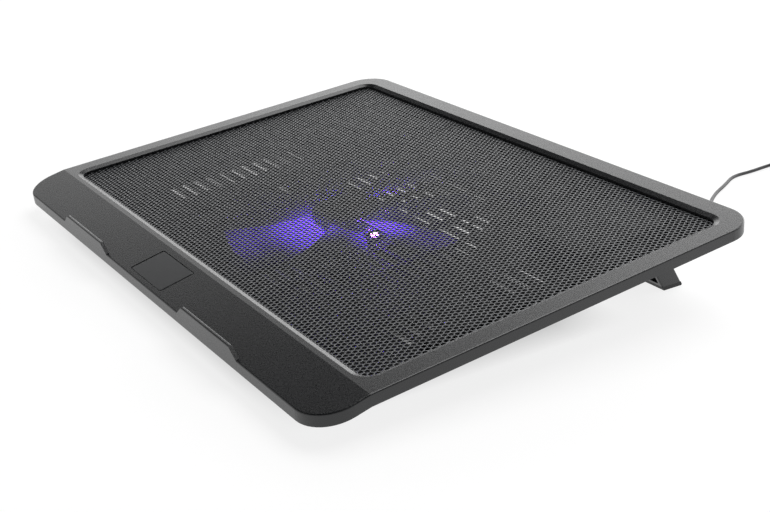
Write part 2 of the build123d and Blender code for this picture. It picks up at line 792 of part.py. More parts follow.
for side, inner_x in (("left", -foot_inner_x - foot_width), ("right", foot_inner_x)):
    leg_plane = Plane(
        origin=(inner_x, foot_pivot_y, -foot_pivot_depth), x_dir=leg_direction, z_dir=(1, 0, 0)
    )
    front_face = Plane(
        origin=(inner_x + foot_width / 2, foot_pivot_y, -foot_pivot_depth),
        x_dir=(1, 0, 0),
        z_dir=-leg_plane.y_dir,
    ).offset(foot_half_thickness)
    with BuildPart() as leg:
        with BuildSketch(leg_plane):
            Circle(foot_half_thickness)
            with Locations((foot_length / 2, 0)):
                Rectangle(foot_length, 2 * foot_half_thickness)
            with Locations((foot_length, 0)):
                Rectangle(foot_length / 2, 2 * foot_half_thickness)
        extrude(amount=foot_width)
        split(bisect_by=floor_plane.offset(foot_tip_height), keep=Keep.TOP)
        sides = leg.faces().filter_by(Axis.X)
        fillet(sides.edges().filter_by(GeomType.LINE).filter_by_position(
            Axis.Z, -sole_depth + foot_tip_height + foot_edge_start, 0), foot_edge_round)
        with BuildSketch(front_face):
            with Locations((0, -(pocket_start + pocket_end) / 2)):
                with GridLocations(pocket_width + foot_rib, 1, foot_pockets, 1):
                    RectangleRounded(pocket_width, pocket_end - pocket_start, pocket_radius)
        extrude(amount=-(2 * foot_half_thickness - foot_shell), mode=Mode.SUBTRACT)
        with BuildSketch(leg_plane):
            Circle(pin_radius + pin_clearance)
        extrude(amount=foot_width, mode=Mode.SUBTRACT)
    leg.part.label = f"{side}_foot"

    with BuildPart() as tip:
        with BuildSketch(leg_plane):
            with Locations((foot_length, 0)):
                Rectangle(foot_length, 2 * foot_half_thickness)
        extrude(amount=foot_width)
        split(bisect_by=floor_plane.offset(foot_tip_height), keep=Keep.BOTTOM)
        split(bisect_by=floor_plane, keep=Keep.TOP)
        fillet(tip.edges().filter_by(Axis.X).group_by(Axis.Z)[0], foot_tip_round)
    tip.part.label = f"{side}_foot_tip"

    with BuildPart() as pin:
        with BuildSketch(leg_plane.offset(-foot_side_gap - well_wall)):
            Circle(pin_radius)
        extrude(amount=foot_width + 2 * (foot_side_gap + well_wall))
    pin.part.label = f"{side}_foot_pin"

    with BuildPart() as front_pad:
        pad_side = -1 if side == "left" else 1
        with BuildSketch(under_floor):
            with Locations((pad_side * front_pad_x, front_pad_y)):
                RectangleRounded(front_pad_width, front_pad_depth, front_pad_radius)
        extrude(amount=-2 * front_pad_height, taper=front_pad_taper)
        split(bisect_by=floor_plane, keep=Keep.TOP)
    front_pad.part.label = f"{side}_front_pad"
    pad_pieces += [leg, tip, pin, front_pad]

# ---------------------------------------------------------------- leads
with BuildPart() as cable_grommet:
    with BuildSketch(Plane.XY.offset(-port_depth)):
        with BuildLine():
            Polyline(
                (port_x, port_inner_y - grommet_collar),
                (port_x + grommet_collar_radius, port_inner_y - grommet_collar),
                (port_x + grommet_collar_radius, port_inner_y),
                (port_x + grommet_neck_radius, port_inner_y),
                (port_x + grommet_neck_radius, port_face_y),
                (port_x + grommet_collar_radius, port_face_y),
                (port_x + grommet_collar_radius, port_face_y + grommet_collar),
                (port_x + grommet_neck_radius, port_face_y + grommet_collar + grommet_chamfer),
                (port_x + lead_diameter / 2 + grommet_tip_wall, port_face_y + grommet_collar + grommet_tail),
                (port_x, port_face_y + grommet_collar + grommet_tail),
                close=True,
            )
        make_face()
    revolve(axis=Axis((port_x, 0, -port_depth), (0, 1, 0)))
cable_grommet.part.label = "cable_grommet"
grommet_tip = Vector(port_x, port_face_y + grommet_collar + grommet_tail, -port_depth)


def corner_radii(points):
    """Radius at each corner of a route: as large as its two runs allow."""
    radii = []
    for before, corner, after in zip(points, points[1:], points[2:]):
        first, second = corner - before, after - corner
        half_turn = radians(first.get_angle(second)) / 2
        radii.append(0.45 * min(first.length, second.length) / tan(half_turn))
    return radii


def report_tube(name, part, line, diameter):
    """Prints the tube's length and its volume beside section times length."""
    section = pi * diameter**2 / 4
    print(f"{name}: length {line.length:.1f}, volume {part.volume:.1f}, "
          f"section x length {section * line.length:.1f}")


# the wire from the lead to the motor's board, along the tray's floor
wire_height = -floor_top + inner_lead_diameter / 2
well_side_x = foot_inner_x - foot_side_gap - well_wall
well_back_y = well_rear + well_wall
inner_points = [
    Vector(*point)
    for point in (
        (port_x, port_inner_y - grommet_collar, -port_depth),
        (port_x, port_inner_y - grommet_collar - 4.0, -port_depth),
        (port_x - 5.0, port_inner_y - grommet_collar - 5.5, wire_height + 1.0),
        (port_x - 14.0, port_inner_y - grommet_collar - 4.0, wire_height),
        (well_side_x + 4.3, well_back_y + 5.0, wire_height),
        (well_side_x - 11.7, well_back_y - 3.0, wire_height),
        (well_side_x - 21.7, well_back_y - 23.0, wire_height),
        (58.0, 52.0, wire_height),
        (38.0, 30.0, wire_height),
        (25.0, 18.0, wire_height),
    )
]
with BuildPart() as fan_lead:
    with BuildLine() as inner_route:
        FilletPolyline(*inner_points, radius=corner_radii(inner_points))
    inner_path = inner_route.wire()
    with BuildSketch(Plane(origin=inner_path @ 0, z_dir=inner_path % 0)):
        Circle(inner_lead_diameter / 2)
    sweep(path=inner_path)
fan_lead.part.label = "fan_lead"
report_tube("fan_lead", fan_lead.part, inner_path, inner_lead_diameter)
pad_pieces += [cable_grommet, fan_lead]

# ---------------------------------------------------------------- onto its feet
tipped = Location((0, 0, 0), (degrees(tilt), 0, 0))
standing = Compound([piece.part.moved(tipped) for piece in pad_pieces]).bounding_box()
on_its_feet = Location((0, -standing.center().Y, -standing.min.Z)) * tipped


def placed(y, z):
    """Height and depth on the floor of a point of the pad's own frame, as (Y, Z)."""
    point = on_its_feet * Location((0, y, z))
    return point.position.Y, point.position.Z


# ---------------------------------------------------------------- lead on the floor
lead_radius = lead_diameter / 2
exit_y, exit_z = placed(grommet_tip.Y, grommet_tip.Z)
coil_turn_x = coil_x - coil_mean_radius - lead_radius
lead_points = [
    Vector(port_x, exit_y, exit_z),
    Vector(port_x, 137.0, 38.36),
    Vector(127.0, 149.0, 33.0),
    Vector(118.0, 162.0, 22.0),
    Vector(106.0, 175.5, 11.0),
    Vector(92.0, 189.5, 3.6),
    Vector(76.5, 203.0, lead_radius),
    Vector(61.0, 217.5, lead_radius),
    Vector(48.5, 236.0, lead_radius),
    Vector(40.0, 255.5, lead_radius),
    Vector(31.2, 272.5, lead_radius),
    Vector(31.4, 290.0, lead_radius),
    Vector(coil_turn_x, 306.5, lead_radius + 0.1),
    Vector(coil_turn_x, coil_y, coil_lift + lead_radius),
]
with BuildPart() as usb_lead:
    with BuildLine() as lead_route:
        lead_radii = corner_radii(lead_points)
        FilletPolyline(*lead_points, radius=lead_radii)
    lead_path = lead_route.wire()
    with BuildSketch(Plane(origin=lead_path @ 0, z_dir=lead_path % 0)):
        Circle(lead_radius)
    sweep(path=lead_path)
usb_lead.part.label = "usb_lead"
report_tube("usb_lead", usb_lead.part, lead_path, lead_diameter)
print("lead radii", [round(radius, 1) for radius in lead_radii])

coil_plane = Plane(origin=(coil_x, coil_y, coil_lift + coil_section_height / 2))
with BuildPart() as lead_coil:
    with BuildSketch(Plane(origin=coil_plane.origin, x_dir=(1, 0, 0), z_dir=(0, -1, 0))):
        with Locations((coil_mean_radius, 0)):
            RectangleRounded(coil_section_width, coil_section_height, coil_section_round)
    revolve(axis=Axis((coil_x, coil_y, 0), (0, 0, 1)))
lead_coil.part.label = "lead_coil"

tie_cut = coil_plane.rotated((0, 0, tie_angle))
tie_section = Plane(
    origin=tie_cut.from_local_coords((coil_mean_radius, -tie_width / 2, 0)),
    x_dir=tie_cut.x_dir,
    z_dir=tie_cut.y_dir,
)
with BuildPart() as coil_tie:
    with BuildSketch(tie_section):
        RectangleRounded(
            coil_section_width + 2 * coil_lift, coil_section_height + 2 * coil_lift, tie_round
        )
        RectangleRounded(
            coil_section_width, coil_section_height, coil_section_round, mode=Mode.SUBTRACT
        )
    extrude(amount=tie_width)
coil_tie.part.label = "coil_tie"

plug_y = coil_y + coil_mean_radius + lead_radius
plug_plane = Plane(origin=(plug_x, plug_y, lead_exit_z), x_dir=(0, 1, 0), z_dir=(1, 0, 0))
with BuildPart() as plug_lead:
    with BuildSketch(plug_plane.offset(coil_x - plug_x)):
        Circle(lead_radius)
    extrude(amount=plug_x - plug_tail - coil_x)
plug_lead.part.label = "plug_lead"

with BuildPart() as usb_plug_body:
    with BuildSketch(plug_plane):
        RectangleRounded(plug_width, 2 * lead_exit_z, plug_corner)
    extrude(amount=plug_length)
    fillet(usb_plug_body.faces().filter_by(Axis.X).edges(), plug_edge_round)
    with BuildSketch(plug_plane):
        Circle(plug_tail_radius + plug_tail_taper)
    with BuildSketch(plug_plane.offset(-plug_tail)):
        Circle(plug_tail_radius - plug_tail_taper)
    loft()
    with BuildSketch(plug_plane.offset(plug_length - shell_root)):
        Rectangle(shell_width, shell_height)
    extrude(amount=shell_root, mode=Mode.SUBTRACT)
usb_plug_body.part.label = "usb_plug_body"

with BuildPart() as usb_plug_shell:
    with BuildSketch(plug_plane.offset(plug_length - shell_root)):
        Rectangle(shell_width, shell_height)
        Rectangle(shell_width - 2 * shell_wall, shell_height - 2 * shell_wall, mode=Mode.SUBTRACT)
    extrude(amount=shell_root + shell_length)
    with BuildSketch(Plane.XY.offset(lead_exit_z)):
        with Locations((plug_x + plug_length + shell_length * latch_place, plug_y)):
            with GridLocations(1, shell_width / 2, 1, 2):
                Rectangle(latch_length, latch_width)
    extrude(amount=shell_height, both=True, mode=Mode.SUBTRACT)
usb_plug_shell.part.label = "usb_plug_shell"

tongue_plane = plug_plane.offset(plug_length - shell_root)
tongue_low = -shell_height / 2 + shell_wall
with BuildPart() as usb_plug_tongue:
    with BuildSketch(tongue_plane):
        with Locations((0, tongue_low)):
            Rectangle(
                shell_width - 2 * shell_wall,
                tongue_thickness,
                align=(Align.CENTER, Align.MIN),
            )
    extrude(amount=shell_root + shell_length - tongue_recess)
    with BuildSketch(tongue_plane):
        Rectangle(shell_width - 2 * shell_wall, shell_height - 2 * shell_wall)
    extrude(amount=tongue_base)
usb_plug_tongue.part.label = "usb_plug_tongue"

with BuildPart() as usb_plug_contacts:
    with BuildSketch(Plane.XY.offset(lead_exit_z + tongue_low + tongue_thickness)):
        with Locations((plug_x + plug_length + shell_length / 2, plug_y)):
            with GridLocations(1, contact_pitch, 1, contact_count):
                Rectangle(shell_length - contact_margin, contact_width)
    extrude(amount=contact_thickness)
usb_plug_contacts.part.label = "usb_plug_contacts"

floor_pieces = [
    usb_lead, lead_coil, coil_tie, plug_lead, usb_plug_body, usb_plug_shell,
    usb_plug_tongue, usb_plug_contacts,
]

# ---------------------------------------------------------------- the written pieces
os.makedirs("parts", exist_ok=True)
for pieces, place in ((pad_pieces, on_its_feet), (floor_pieces, Location())):
    for piece in pieces:
        label = piece.part.label
        finished = piece.part.moved(place)
        finished.label = label
        export_step(finished, f"parts/{label}.step")

print("tilt", round(degrees(tilt), 3))
for name, y, z in (
    ("pad frame origin", 0, 0),
    ("fan axis", fan_y, -hub_roof_depth),
    ("foot pin", foot_pivot_y, -foot_pivot_depth),
    ("grommet tip", grommet_tip.Y, grommet_tip.Z),
    ("deck rear edge", half_depth, 0),
):
    print(name, [round(value, 3) for value in placed(y, z)])
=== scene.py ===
"""Looks of a laptop cooling pad: satin ABS shells, perforated steel over a lit fan, a USB lead."""
import json
from math import cos, pi, radians, sin, sqrt, tau
import bpy
from mathutils import Matrix, Vector


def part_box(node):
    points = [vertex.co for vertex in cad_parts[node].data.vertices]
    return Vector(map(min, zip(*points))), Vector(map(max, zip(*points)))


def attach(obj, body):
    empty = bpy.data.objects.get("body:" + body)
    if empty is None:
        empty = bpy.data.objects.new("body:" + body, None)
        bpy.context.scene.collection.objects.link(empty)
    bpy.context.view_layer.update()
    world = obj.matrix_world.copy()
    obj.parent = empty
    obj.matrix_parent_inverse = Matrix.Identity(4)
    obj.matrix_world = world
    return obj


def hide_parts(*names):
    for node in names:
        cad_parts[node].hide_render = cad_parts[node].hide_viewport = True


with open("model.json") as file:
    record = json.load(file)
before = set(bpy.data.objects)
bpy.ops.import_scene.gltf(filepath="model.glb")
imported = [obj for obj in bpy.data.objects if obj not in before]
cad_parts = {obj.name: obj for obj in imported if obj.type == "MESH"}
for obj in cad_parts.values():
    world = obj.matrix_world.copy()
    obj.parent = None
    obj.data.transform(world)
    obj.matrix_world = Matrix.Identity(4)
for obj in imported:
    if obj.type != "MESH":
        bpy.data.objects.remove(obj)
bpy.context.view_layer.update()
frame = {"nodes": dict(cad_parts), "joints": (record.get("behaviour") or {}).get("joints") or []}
nodes = frame["nodes"]
MM = 0.001

# ---------------------------------------------------------------- places taken from the frame
# The fan's axis stands square to the deck, so it gives the deck's own directions.
fan_joint = next(joint for joint in frame["joints"] if joint["name"] == "fan_spin")
deck_up = Vector(fan_joint["axis"]).normalized()
deck_right = Vector((1.0, 0.0, 0.0))
deck_rear = deck_up.cross(deck_right)
fan_centre = Vector(fan_joint["pos_m"])
cup_low, cup_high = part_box("rotor_cup")
hub_wall = 1.2 * MM
hub_radius = (cup_high.x - cup_low.x) / 2 + hub_wall


# ---------------------------------------------------------------- camera
camera_place = (0.53134, -0.34063, 0.26105)
camera_right = Vector((0.56163, 0.82739, 0.00116))
camera_down = Vector((0.31924, -0.21541, -0.92287))


def make_camera():
    """A level three-quarter view from the front right, about 35 degrees across."""
    up = -camera_down
    turn = Matrix((camera_right, up, camera_right.cross(up))).transposed()
    data = bpy.data.cameras.new("camera")
    data.sensor_width = 36.0
    data.lens = 57.48
    camera = bpy.data.objects.new("camera", data)
    camera.matrix_world = Matrix.Translation(camera_place) @ turn.to_4x4()
    bpy.context.scene.collection.objects.link(camera)
    bpy.context.scene.camera = camera


make_camera()


# ---------------------------------------------------------------- small helpers
def linear(hex_colour):
    """An sRGB hex colour as the linear values that the shaders take."""
    channels = [int(hex_colour[at:at + 2], 16) / 255 for at in (1, 3, 5)]
    return (*[c / 12.92 if c <= 0.04045 else ((c + 0.055) / 1.055) ** 2.4 for c in channels], 1.0)


def add(tree, kind, inputs=None, **settings):
    """Adds a node with its properties and with its inputs, each a value or the output that feeds it."""
    made = tree.nodes.new(kind)
    for name, value in settings.items():
        setattr(made, name, value)
    for name, value in (inputs or {}).items():
        if isinstance(value, bpy.types.NodeSocket):
            tree.links.new(value, made.inputs[name])
        else:
            made.inputs[name].default_value = value
    return made


def blank_material(name):
    """A material with only its output, and the object coordinates that its patterns read."""
    material = bpy.data.materials.new(name)
    material.use_nodes = True
    tree = material.node_tree
    tree.nodes.clear()
    place = add(tree, "ShaderNodeTexCoord").outputs["Object"]
    return material, tree, place


def finish_material(tree, surface):
    """Joins the last shader to the material's output."""
    add(tree, "ShaderNodeOutputMaterial", {"Surface": surface})


def grain(tree, place, size_mm, detail=2.0, roughness=0.5):
    """Cloudy noise whose patches are about size_mm across."""
    return add(
        tree, "ShaderNodeTexNoise",
        {"Vector": place, "Scale": 1 / (size_mm * MM), "Detail": detail, "Roughness": roughness},
    ).outputs["Fac"]


def ranged(tree, value, low, high, start=0.3, end=0.7):
    """Spreads a value that runs from start to end over low to high, and holds it there."""
    return add(
        tree, "ShaderNodeMapRange",
        {"Value": value, "From Min": start, "From Max": end, "To Min": low, "To Max": high},
    ).outputs["Result"]


def shaded(tree, value, dark, light, start=0.3, end=0.7):
    """A colour between two hex colours."""
    ramp = add(tree, "ShaderNodeValToRGB", {"Fac": value})
    ramp.color_ramp.elements[0].position = start
    ramp.color_ramp.elements[1].position = end
    ramp.color_ramp.elements[0].color = linear(dark)
    ramp.color_ramp.elements[1].color = linear(light)
    return ramp.outputs["Color"]


def bumped(tree, height, depth_mm, strength=1.0, normal=None):
    """Relief of that depth."""
    inputs = {"Height": height, "Distance": depth_mm * MM, "Strength": strength}
    if normal is not None:
        inputs["Normal"] = normal
    return add(tree, "ShaderNodeBump", inputs).outputs["Normal"]


# ---------------------------------------------------------------- materials
# Lobes of painted glow in the blades: angle on the deck, radius and reach in mm, strength. The first two
# lie by the two brightest lamps, the others are where their light runs out along the blades.
painted_glow_lobes = [
    (-92.0, 26.0, 30.0, 5.5),
    (3.0, 30.0, 25.0, 5.5),
    (-99.0, 58.0, 26.0, 0.9),
    (15.0, 57.0, 24.0, 0.5),
]
painted_glow_edge = 2 * MM  # over which the painted glow fades in at the hub's rim
through_share = 0.45  # of the light that a smoked blade lets through
diode_strength = 500.0


def hard_moulding(name, dark, light, texture_mm, relief_mm, least_rough, most_rough):
    """Injection moulding, mostly ABS, with a spark-eroded texture: soft highlights, a faint mottle."""
    material, tree, place = blank_material(name)
    texture = grain(tree, place, texture_mm, detail=3.0, roughness=0.55)
    mottle = grain(tree, place, size_mm=22.0)
    shader = add(
        tree, "ShaderNodeBsdfPrincipled",
        {
            "Base Color": shaded(tree, mottle, dark, light),
            "Roughness": ranged(tree, texture, least_rough, most_rough),
            "Normal": bumped(tree, texture, relief_mm),
            "IOR": 1.54,
        },
    )
    finish_material(tree, shader.outputs["BSDF"])
    return material


def coated_steel():
    """Powder-coated punched steel: an uneven coat speckles each web where it catches the light."""
    material, tree, place = blank_material("powder_coated_steel")
    speckle = grain(tree, place, size_mm=0.55, roughness=0.6)
    cloud = grain(tree, place, size_mm=9.0)
    shader = add(
        tree, "ShaderNodeBsdfPrincipled",
        {
            "Base Color": shaded(tree, speckle, "#1c1d1f", "#56585b", 0.4, 0.68),
            "Metallic": 0.5,
            "Roughness": ranged(tree, cloud, 0.22, 0.3),
            "Normal": bumped(tree, speckle, 0.06),
            "IOR": 1.5,
        },
    )
    finish_material(tree, shader.outputs["BSDF"])
    return material


def add_up(tree, values, operation="ADD"):
    """One value from several, summed or multiplied in turn."""
    total = values[0]
    for value in values[1:]:
        total = add(tree, "ShaderNodeMath", {0: total, 1: value}, operation=operation).outputs["Value"]
    return total


def painted_lamp_glow(tree):
    """Strength of the painted glow in the blades at each place, which stays while the blades turn."""
    spot = add(tree, "ShaderNodeNewGeometry").outputs["Position"]
    shares = []
    for angle, radius_mm, reach_mm, share in painted_glow_lobes:
        way = deck_right * cos(radians(angle)) + deck_rear * sin(radians(angle))
        lamp = fan_centre + way * radius_mm * MM
        away = add(tree, "ShaderNodeVectorMath", {0: spot, 1: lamp}, operation="DISTANCE")
        fall = add(
            tree, "ShaderNodeMapRange",
            {"Value": away.outputs["Value"], "From Min": 0.0, "From Max": reach_mm * MM,
             "To Min": share, "To Max": 0.0},
            interpolation_type="SMOOTHERSTEP",
        )
        shares.append(fall.outputs["Result"])
    # the painted glow leaves the hub's cap dark: the motor's cup lies right under it
    from_axis = add(tree, "ShaderNodeVectorMath", {0: spot, 1: fan_centre}, operation="DISTANCE")
    past_hub = ranged(tree, from_axis.outputs["Value"], 0.0, 1.0, hub_radius, hub_radius + painted_glow_edge)
    return add_up(tree, [add_up(tree, shares), past_hub], "MULTIPLY")


def smoked_plastic_painted_glow():
    """Smoke-tinted polycarbonate, moulded: it passes some light from the lamps under it, and a painted
    glow is added around them as emission.
    """
    material, tree, place = blank_material("smoked_polycarbonate_painted_glow")
    flow = grain(tree, place, size_mm=7.0)
    texture = grain(tree, place, size_mm=0.8)
    shell = add(
        tree, "ShaderNodeBsdfPrincipled",
        {
            "Base Color": shaded(tree, flow, "#1a1b20", "#25272e"),
            "Roughness": ranged(tree, texture, 0.22, 0.34),
            "Normal": bumped(tree, texture, 0.02),
            # painted glow: violet emission around the lamps, fixed in space, stands in for their light
            # in the blades
            "Emission Color": shaded(tree, flow, "#5a28ff", "#6a3cff"),
            "Emission Strength": painted_lamp_glow(tree),
            "IOR": 1.58,
        },
    )
    through = add(
        tree, "ShaderNodeBsdfTranslucent", {"Color": shaded(tree, flow, "#b0b2d4", "#c8caec")}
    )
    mixed = add(tree, "ShaderNodeMixShader", {"Fac": through_share})
    tree.links.new(shell.outputs["BSDF"], mixed.inputs[1])
    tree.links.new(through.outputs["BSDF"], mixed.inputs[2])
    finish_material(tree, mixed.outputs["Shader"])
    return material


def lit_diode():
    """Clear epoxy over a lit blue chip: it shines blue-violet, a little cloudy."""
    material, tree, place = blank_material("lit_blue_epoxy")
    haze = grain(tree, place, size_mm=1.1, detail=1.0)
    shader = add(
        tree, "ShaderNodeBsdfPrincipled",
        {
            "Base Color": shaded(tree, haze, "#8fa4ff", "#c3ccff"),
            "Roughness": ranged(tree, haze, 0.08, 0.16),
            "Emission Color": shaded(tree, haze, "#5c1eff", "#7a46ff"),
            "Emission Strength": diode_strength,
            "IOR": 1.5,
        },
    )
    finish_material(tree, shader.outputs["BSDF"])
    return material


def plain_metal(name, dark, light, least_rough, most_rough, grain_mm, relief_mm=0.01, stretch=(1, 1, 1)):
    """Bare or plated metal with the grain of how it was cut or rolled."""
    material, tree, place = blank_material(name)
    drawn = add(tree, "ShaderNodeMapping", {"Vector": place, "Scale": stretch}).outputs["Vector"]
    cut = grain(tree, drawn, grain_mm, detail=3.0, roughness=0.6)
    shader = add(
        tree, "ShaderNodeBsdfPrincipled",
        {
            "Base Color": shaded(tree, cut, dark, light),
            "Metallic": 1.0,
            "Roughness": ranged(tree, cut, least_rough, most_rough),
            "Normal": bumped(tree, cut, relief_mm),
        },
    )
    finish_material(tree, shader.outputs["BSDF"])
    return material


wave_factor = 20  # a Wave texture of scale 1 has bands tau / 20 apart


def banded(name, dark, light, pitch_mm, direction, roughness, relief_mm, metallic=0.0):
    """Layers side by side, such as stamped sheets in a stack or turns of wire on a bobbin."""
    material, tree, place = blank_material(name)
    wave = add(
        tree, "ShaderNodeTexWave",
        {"Vector": place, "Scale": 1 / (wave_factor * pitch_mm * MM) * tau,
         "Distortion": 0.6, "Detail": 2.0},
        bands_direction=direction,
    ).outputs["Fac"]
    shader = add(
        tree, "ShaderNodeBsdfPrincipled",
        {
            "Base Color": shaded(tree, wave, dark, light, 0.1, 0.7),
            "Metallic": metallic,
            "Roughness": ranged(tree, wave, roughness + 0.1, roughness, 0.0, 1.0),
            "Normal": bumped(tree, wave, relief_mm),
        },
    )
    finish_material(tree, shader.outputs["BSDF"])
    return material


def solder_mask():
    """Green solder mask over copper: faint tracks stand proud under a glossy coat."""
    material, tree, place = blank_material("solder_masked_laminate")
    track_pitch = 6.0 * MM
    tracks = add(
        tree, "ShaderNodeTexBrick",
        {"Vector": place, "Scale": 1 / track_pitch, "Mortar Size": 0.03,
         "Color1": (1, 1, 1, 1), "Color2": (1, 1, 1, 1), "Mortar": (0, 0, 0, 1)},
    ).outputs["Fac"]
    shader = add(
        tree, "ShaderNodeBsdfPrincipled",
        {
            "Base Color": shaded(tree, tracks, "#0f3d1f", "#1d6a36", 0.2, 0.8),
            "Roughness": ranged(tree, grain(tree, place, size_mm=1.5), 0.22, 0.34),
            "Normal": bumped(tree, tracks, 0.03),
        },
    )
    finish_material(tree, shader.outputs["BSDF"])
    return material


def soft_polymer(name, dark, light, texture_mm, relief_mm, least_rough, most_rough):
    """Rubber or soft PVC: matt, dusty in patches, a fine skin texture."""
    material, tree, place = blank_material(name)
    skin = grain(tree, place, texture_mm, detail=3.0, roughness=0.6)
    dust = grain(tree, place, size_mm=6.0, detail=3.0, roughness=0.6)
    shader = add(
        tree, "ShaderNodeBsdfPrincipled",
        {
            "Base Color": shaded(tree, dust, dark, light),
            "Roughness": ranged(tree, skin, least_rough, most_rough),
            "Normal": bumped(tree, skin, relief_mm),
            "IOR": 1.52,
        },
    )
    finish_material(tree, shader.outputs["BSDF"])
    return material


# Mouldings: colours, then texture and relief in mm, then least and most roughness
case_abs = hard_moulding("satin_abs_case", "#161719", "#1a1b1d", 0.7, 0.035, 0.24, 0.33)
tray_abs = hard_moulding("textured_abs_tray", "#1c1d1f", "#232426", 1.1, 0.09, 0.48, 0.62)
badge_abs = hard_moulding("smooth_abs_badge", "#1f2123", "#242628", 1.6, 0.01, 0.28, 0.36)
ferrite = hard_moulding("bonded_ferrite", "#26272a", "#36373a", 0.5, 0.03, 0.5, 0.65)
tongue_nylon = hard_moulding("moulded_nylon_tongue", "#d9d8d2", "#e6e5df", 0.8, 0.01, 0.3, 0.42)
rubber = soft_polymer("moulded_rubber", "#1b1b1c", "#252526", 0.5, 0.03, 0.6, 0.78)
lead_pvc = soft_polymer("soft_pvc_lead", "#2a2a2c", "#343437", 0.6, 0.012, 0.4, 0.52)
plug_pvc = soft_polymer("over_moulded_pvc_plug", "#202022", "#29292b", 0.7, 0.02, 0.42, 0.55)
tie_nylon = soft_polymer("hook_and_loop_nylon", "#1d1d1f", "#2c2c2f", 0.35, 0.08, 0.7, 0.85)
# Metals: colours, then least and most roughness, then grain and relief in mm
turned_steel = plain_metal("turned_steel", "#8d8f92", "#b9bbbd", 0.22, 0.36, 0.6)
black_steel = plain_metal("blackened_screw_steel", "#232325", "#3a3a3d", 0.3, 0.45, 0.7)
zinc_steel = plain_metal("zinc_plated_steel", "#8f9498", "#b4b8bb", 0.25, 0.42, 1.6)
nickel_steel = plain_metal(
    "nickel_plated_sheet_steel", "#b9babb", "#d6d6d4", 0.14, 0.26, 1.2, 0.006, (0.3, 1, 1)
)
bronze = plain_metal("sintered_bronze", "#7a5330", "#a5743f", 0.38, 0.55, 0.35, 0.02)
gold = plain_metal("gold_flashed_contacts", "#b98a35", "#d9b15c", 0.18, 0.28, 0.8)
# Layered: colours, pitch in mm and direction of the layers, roughness, relief in mm, metal share
laminations = banded("laminated_silicon_steel", "#4c5056", "#7c8087", 0.5, "Z", 0.4, 0.03, 0.8)
windings = banded("enamelled_copper_wire", "#6d2f12", "#c0703a", 0.3, "X", 0.28, 0.05, 0.4)
steel_mesh = coated_steel()
smoked = smoked_plastic_painted_glow()
diode = lit_diode()
laminate = solder_mask()

node_materials = {
    "top_frame": case_abs,
    "badge_plate": badge_abs,
    "bottom_tray": tray_abs,
    "case_screws": black_steel,
    "impeller": smoked,
    "rotor_cup": zinc_steel,
    "ring_magnet": ferrite,
    "fan_shaft": turned_steel,
    "shaft_clip": black_steel,
    "sleeve_bearing": bronze,
    "bearing_holder": zinc_steel,
    "motor_plate": zinc_steel,
    "motor_screws": zinc_steel,
    "fan_board": laminate,
    "stator_core": laminations,
    "stator_windings": windings,
    "fan_leds": diode,
    "left_foot": case_abs,
    "right_foot": case_abs,
    "left_foot_tip": rubber,
    "right_foot_tip": rubber,
    "left_foot_pin": turned_steel,
    "right_foot_pin": turned_steel,
    "left_front_pad": rubber,
    "right_front_pad": rubber,
    "cable_grommet": rubber,
    "fan_lead": lead_pvc,
    "coil_tie": tie_nylon,
    "usb_plug_body": plug_pvc,
    "usb_plug_shell": nickel_steel,
    "usb_plug_tongue": tongue_nylon,
    "usb_plug_contacts": gold,
}
for name, material in node_materials.items():
    mesh = nodes[name].data
    mesh.materials.clear()
    mesh.materials.append(material)


def new_piece(name, data, material, body):
    """An object of its own, riding on a body, with its finish."""
    piece = bpy.data.objects.new(name, data)
    bpy.context.scene.collection.objects.link(piece)
    data.materials.append(material)
    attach(piece, body)
    return piece


# ---------------------------------------------------------------- lead
# The route's own points, on the floor behind the pad, then the turns of the put-away coil.
lead_diameter = 2.2 * MM
lead_route = [
    (130.0, 127.586, 37.268),
    (130.0, 137.0, 38.36),
    (127.0, 149.0, 33.0),
    (118.0, 162.0, 22.0),
    (106.0, 175.5, 11.0),
    (92.0, 189.5, 3.6),
    (76.5, 203.0, 1.1),
    (61.0, 217.5, 1.1),
    (48.5, 236.0, 1.1),
    (40.0, 255.5, 1.1),
    (31.2, 272.5, 1.1),
    (31.4, 290.0, 1.1),
    (29.8, 306.5, 1.2),
]
coil_low, coil_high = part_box("lead_coil")
plug_lead_low, plug_lead_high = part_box("plug_lead")
coil_centre = (coil_low + coil_high) / 2
points_per_turn = 16
coil_turns = 4.25
layer_gap = 0.1 * MM  # between the turns and the coil's outer face
layer_lift = 0.05 * MM  # between the turns and the coil's top and bottom
crossing_start = 0.6  # share of a turn after which the cord crosses to the next place
tail_run = 5 * MM


def coil_points():
    """Turns of the coil, clockwise from its left side: out, in, up and in, up and out, then off."""
    points = []
    outer = (coil_high.x - coil_low.x) / 2 - lead_diameter / 2 - layer_gap
    inner = outer - lead_diameter
    low = coil_low.z + lead_diameter / 2 + layer_lift
    high = coil_high.z - lead_diameter / 2 - layer_lift
    stations = [(outer, low), (inner, low), (inner, high), (outer, high), (outer, high)]
    last = len(stations) - 2
    for step in range(int(coil_turns * points_per_turn) + 1):
        turn = step / points_per_turn
        index = min(int(turn), last)
        share = turn - index if index < last else 0.0
        # each turn keeps its place for most of the way, then crosses to the next
        share = max(0.0, (share - crossing_start) / (1 - crossing_start))
        share = share * share * (3 - 2 * share)
        radius = stations[index][0] * (1 - share) + stations[index + 1][0] * share
        height = stations[index][1] * (1 - share) + stations[index + 1][1] * share
        angle = pi - turn * tau
        points.append(Vector((
            coil_centre.x + radius * cos(angle), coil_centre.y + radius * sin(angle), height
        )))
    return points


